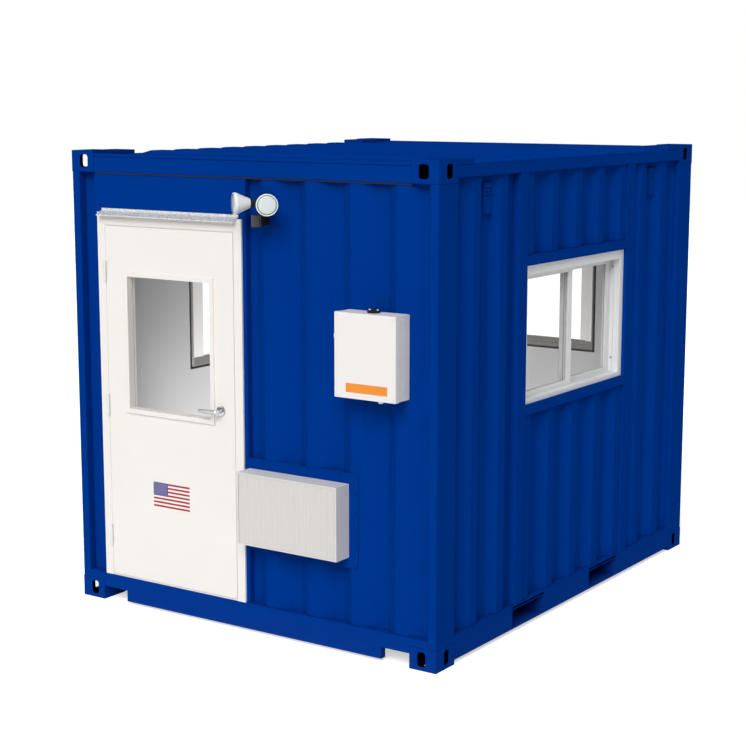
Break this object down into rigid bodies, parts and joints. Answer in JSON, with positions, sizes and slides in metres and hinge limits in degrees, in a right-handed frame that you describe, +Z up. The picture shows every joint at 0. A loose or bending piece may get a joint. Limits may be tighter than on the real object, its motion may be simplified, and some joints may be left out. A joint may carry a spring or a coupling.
{
  "type": "guard booth made from a shipping container",
  "caption": "Walk-in guard booth in a short ribbed steel container, with a glazed end door, sliding windows, a through-wall air conditioner, a load centre and a twin flood light.",
  "frame": {"origin": "centre of the footprint, level with the undersides of the bottom corner castings", "axes": "+X along the length away from the door end, +Y away from the window side, +Z up"},
  "size_m": [3.1643, 2.438, 2.591],
  "materials": {
    "blue_paint": "satin container paint",
    "floor_ply": "sealed plywood",
    "wall_lining": "washable lining board",
    "window_vinyl": "extruded white vinyl",
    "window_pane": "clear",
    "door_paint": "satin off-white paint",
    "galvanised_steel": "spangled zinc",
    "threshold_aluminium": "mill finish",
    "hinge_steel": "satin",
    "polished_chrome": "polished",
    "cooler_plastic": "moulded",
    "enclosure_paint": "powder coat",
    "black_plastic": "moulded",
    "lamp_white": "moulded white with a pale lens"
  },
  "bodies": {
    "booth": {"bottom_corner_castings": "blue_paint", "top_corner_castings": "blue_paint", "corner_posts": "blue_paint", "end_sills": "blue_paint", "end_top_rails": "blue_paint", "side_top_rails": "blue_paint", "side_bottom_rails": "blue_paint", "floor_crossmembers": "blue_paint", "fork_pocket_plates": "blue_paint", "roof_panel": "blue_paint", "window_side_wall": "blue_paint", "far_side_wall": "blue_paint", "back_end_wall": "blue_paint", "door_end_wall": "blue_paint", "door_surround": "blue_paint", "window_surrounds": "blue_paint", "air_conditioner_surround": "blue_paint", "wall_vents": "blue_paint", "floor_deck": "floor_ply", "ceiling_liner": "wall_lining", "side_wall_liners": "wall_lining", "end_wall_liners": "wall_lining", "window_frames": "window_vinyl", "window_sashes": "window_vinyl", "window_glass": "window_pane", "door_frame": "door_paint", "drip_cap": "galvanised_steel", "door_threshold": "threshold_aluminium", "frame_hinges": "hinge_steel", "air_conditioner_case": "cooler_plastic", "air_conditioner_grille": "cooler_plastic", "air_conditioner_fascia": "cooler_plastic", "load_centre_box": "enclosure_paint", "load_centre_cover": "enclosure_paint", "conduit_hub": "black_plastic", "floodlight_base": "black_plastic", "motion_sensor": "black_plastic"},
    "door": {"door_leaf": "door_paint", "door_lite_trim": "door_paint", "door_glass": "window_pane", "door_hinges": "hinge_steel", "lever_roses": "polished_chrome"},
    "lever": {"door_lever": "polished_chrome"},
    "left_lamp": {"left_lamp_head": "lamp_white"},
    "right_lamp": {"right_lamp_head": "lamp_white"}
  },
  "joints": [
    {"name": "door_swing", "type": "hinge", "parent": "booth", "child": "door", "pos_m": [-1.5025, 0.9825, 1.171], "axis": [0, 0, -1], "range_deg": [0, 170]},
    {"name": "lever_turn", "type": "hinge", "parent": "door", "child": "lever", "pos_m": [-1.4955, 0.162, 1.211], "axis": [-1, 0, 0], "range_deg": [0, 45], "stiffness_Nm_per_rad": 0.8, "springref_deg": -34.38},
    {"name": "left_lamp_tilt", "type": "hinge", "parent": "booth", "child": "left_lamp", "pos_m": [-1.54027, -0.13415, 2.345], "axis": [0.6428, 0.766, 0], "range_deg": [-40, 25]},
    {"name": "right_lamp_tilt", "type": "hinge", "parent": "booth", "child": "right_lamp", "pos_m": [-1.54027, -0.19585, 2.345], "axis": [-0.6428, 0.766, 0], "range_deg": [-40, 25]}
  ]
}
